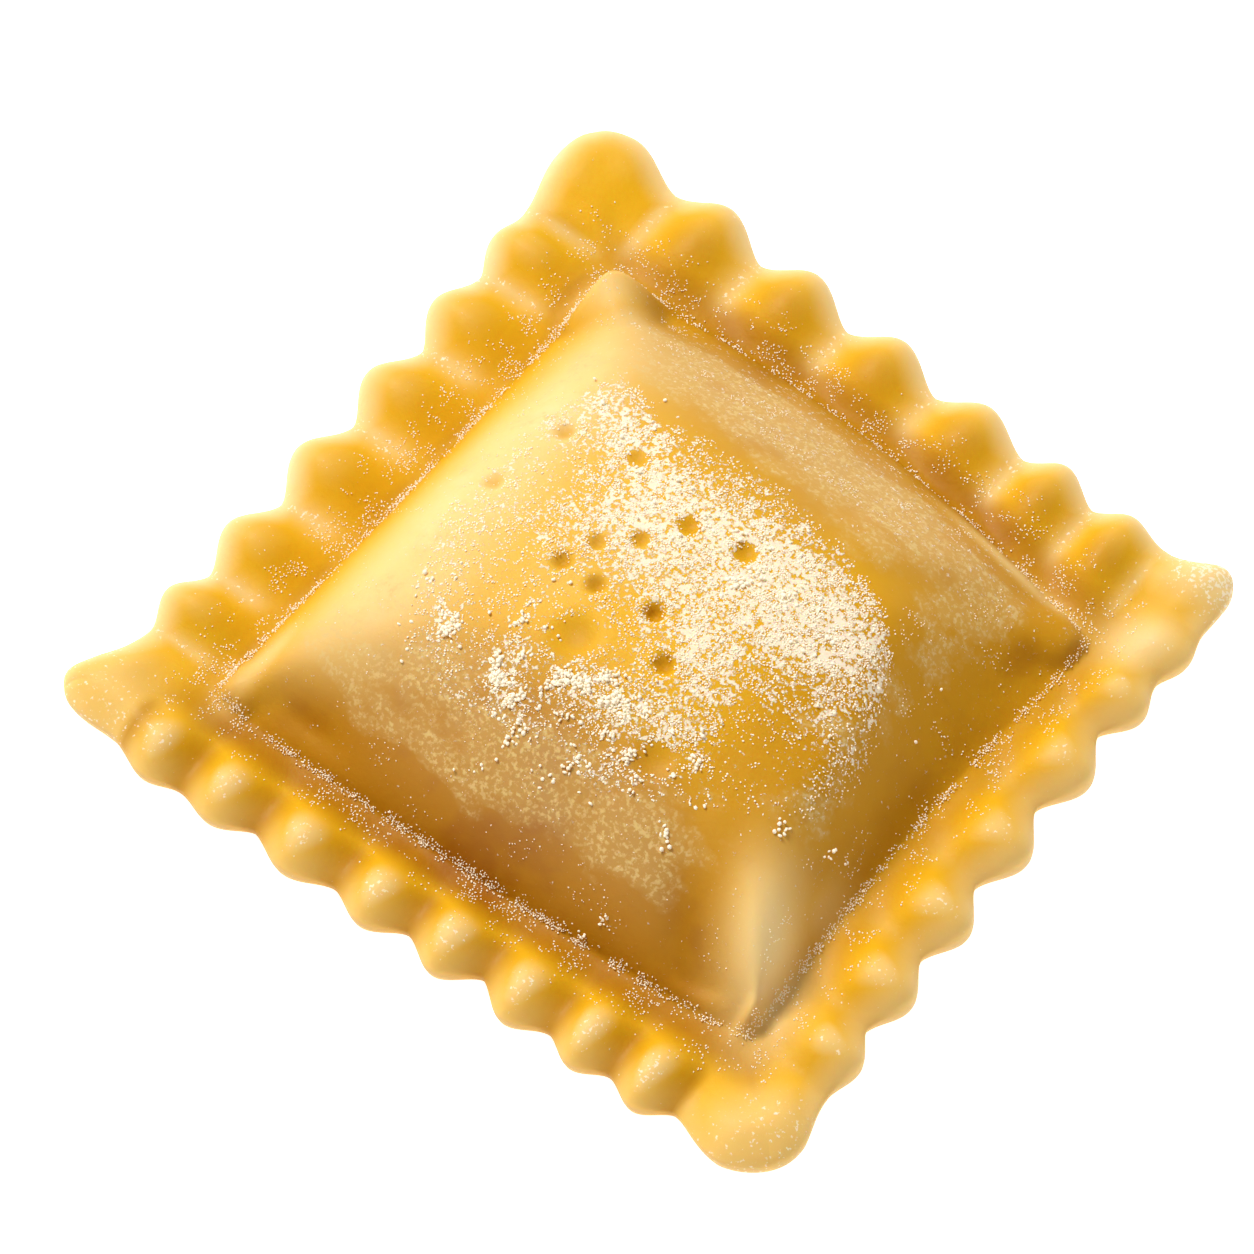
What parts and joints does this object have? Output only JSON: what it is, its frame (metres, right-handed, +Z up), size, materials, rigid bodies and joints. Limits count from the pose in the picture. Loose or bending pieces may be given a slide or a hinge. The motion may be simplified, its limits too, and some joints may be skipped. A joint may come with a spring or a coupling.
{
  "type": "ravioli",
  "caption": "Square filled pasta parcel: a domed pillow of dough over a filling, drawn out to ridged corners, sealed all round by a flat rim with a fluted edge",
  "frame": {"origin": "Centre of the outline's box, on the flat underside.", "axes": "+Z up out of the pillow. X and Y run along the rim's sides: the front edge faces -Y, and the longest corner pad is at -X +Y."},
  "size_m": [0.0524, 0.0522, 0.0103],
  "materials": {
    "dough": "satin"
  },
  "bodies": {
    "root": {"ravioli": "dough"}
  },
  "joints": []
}
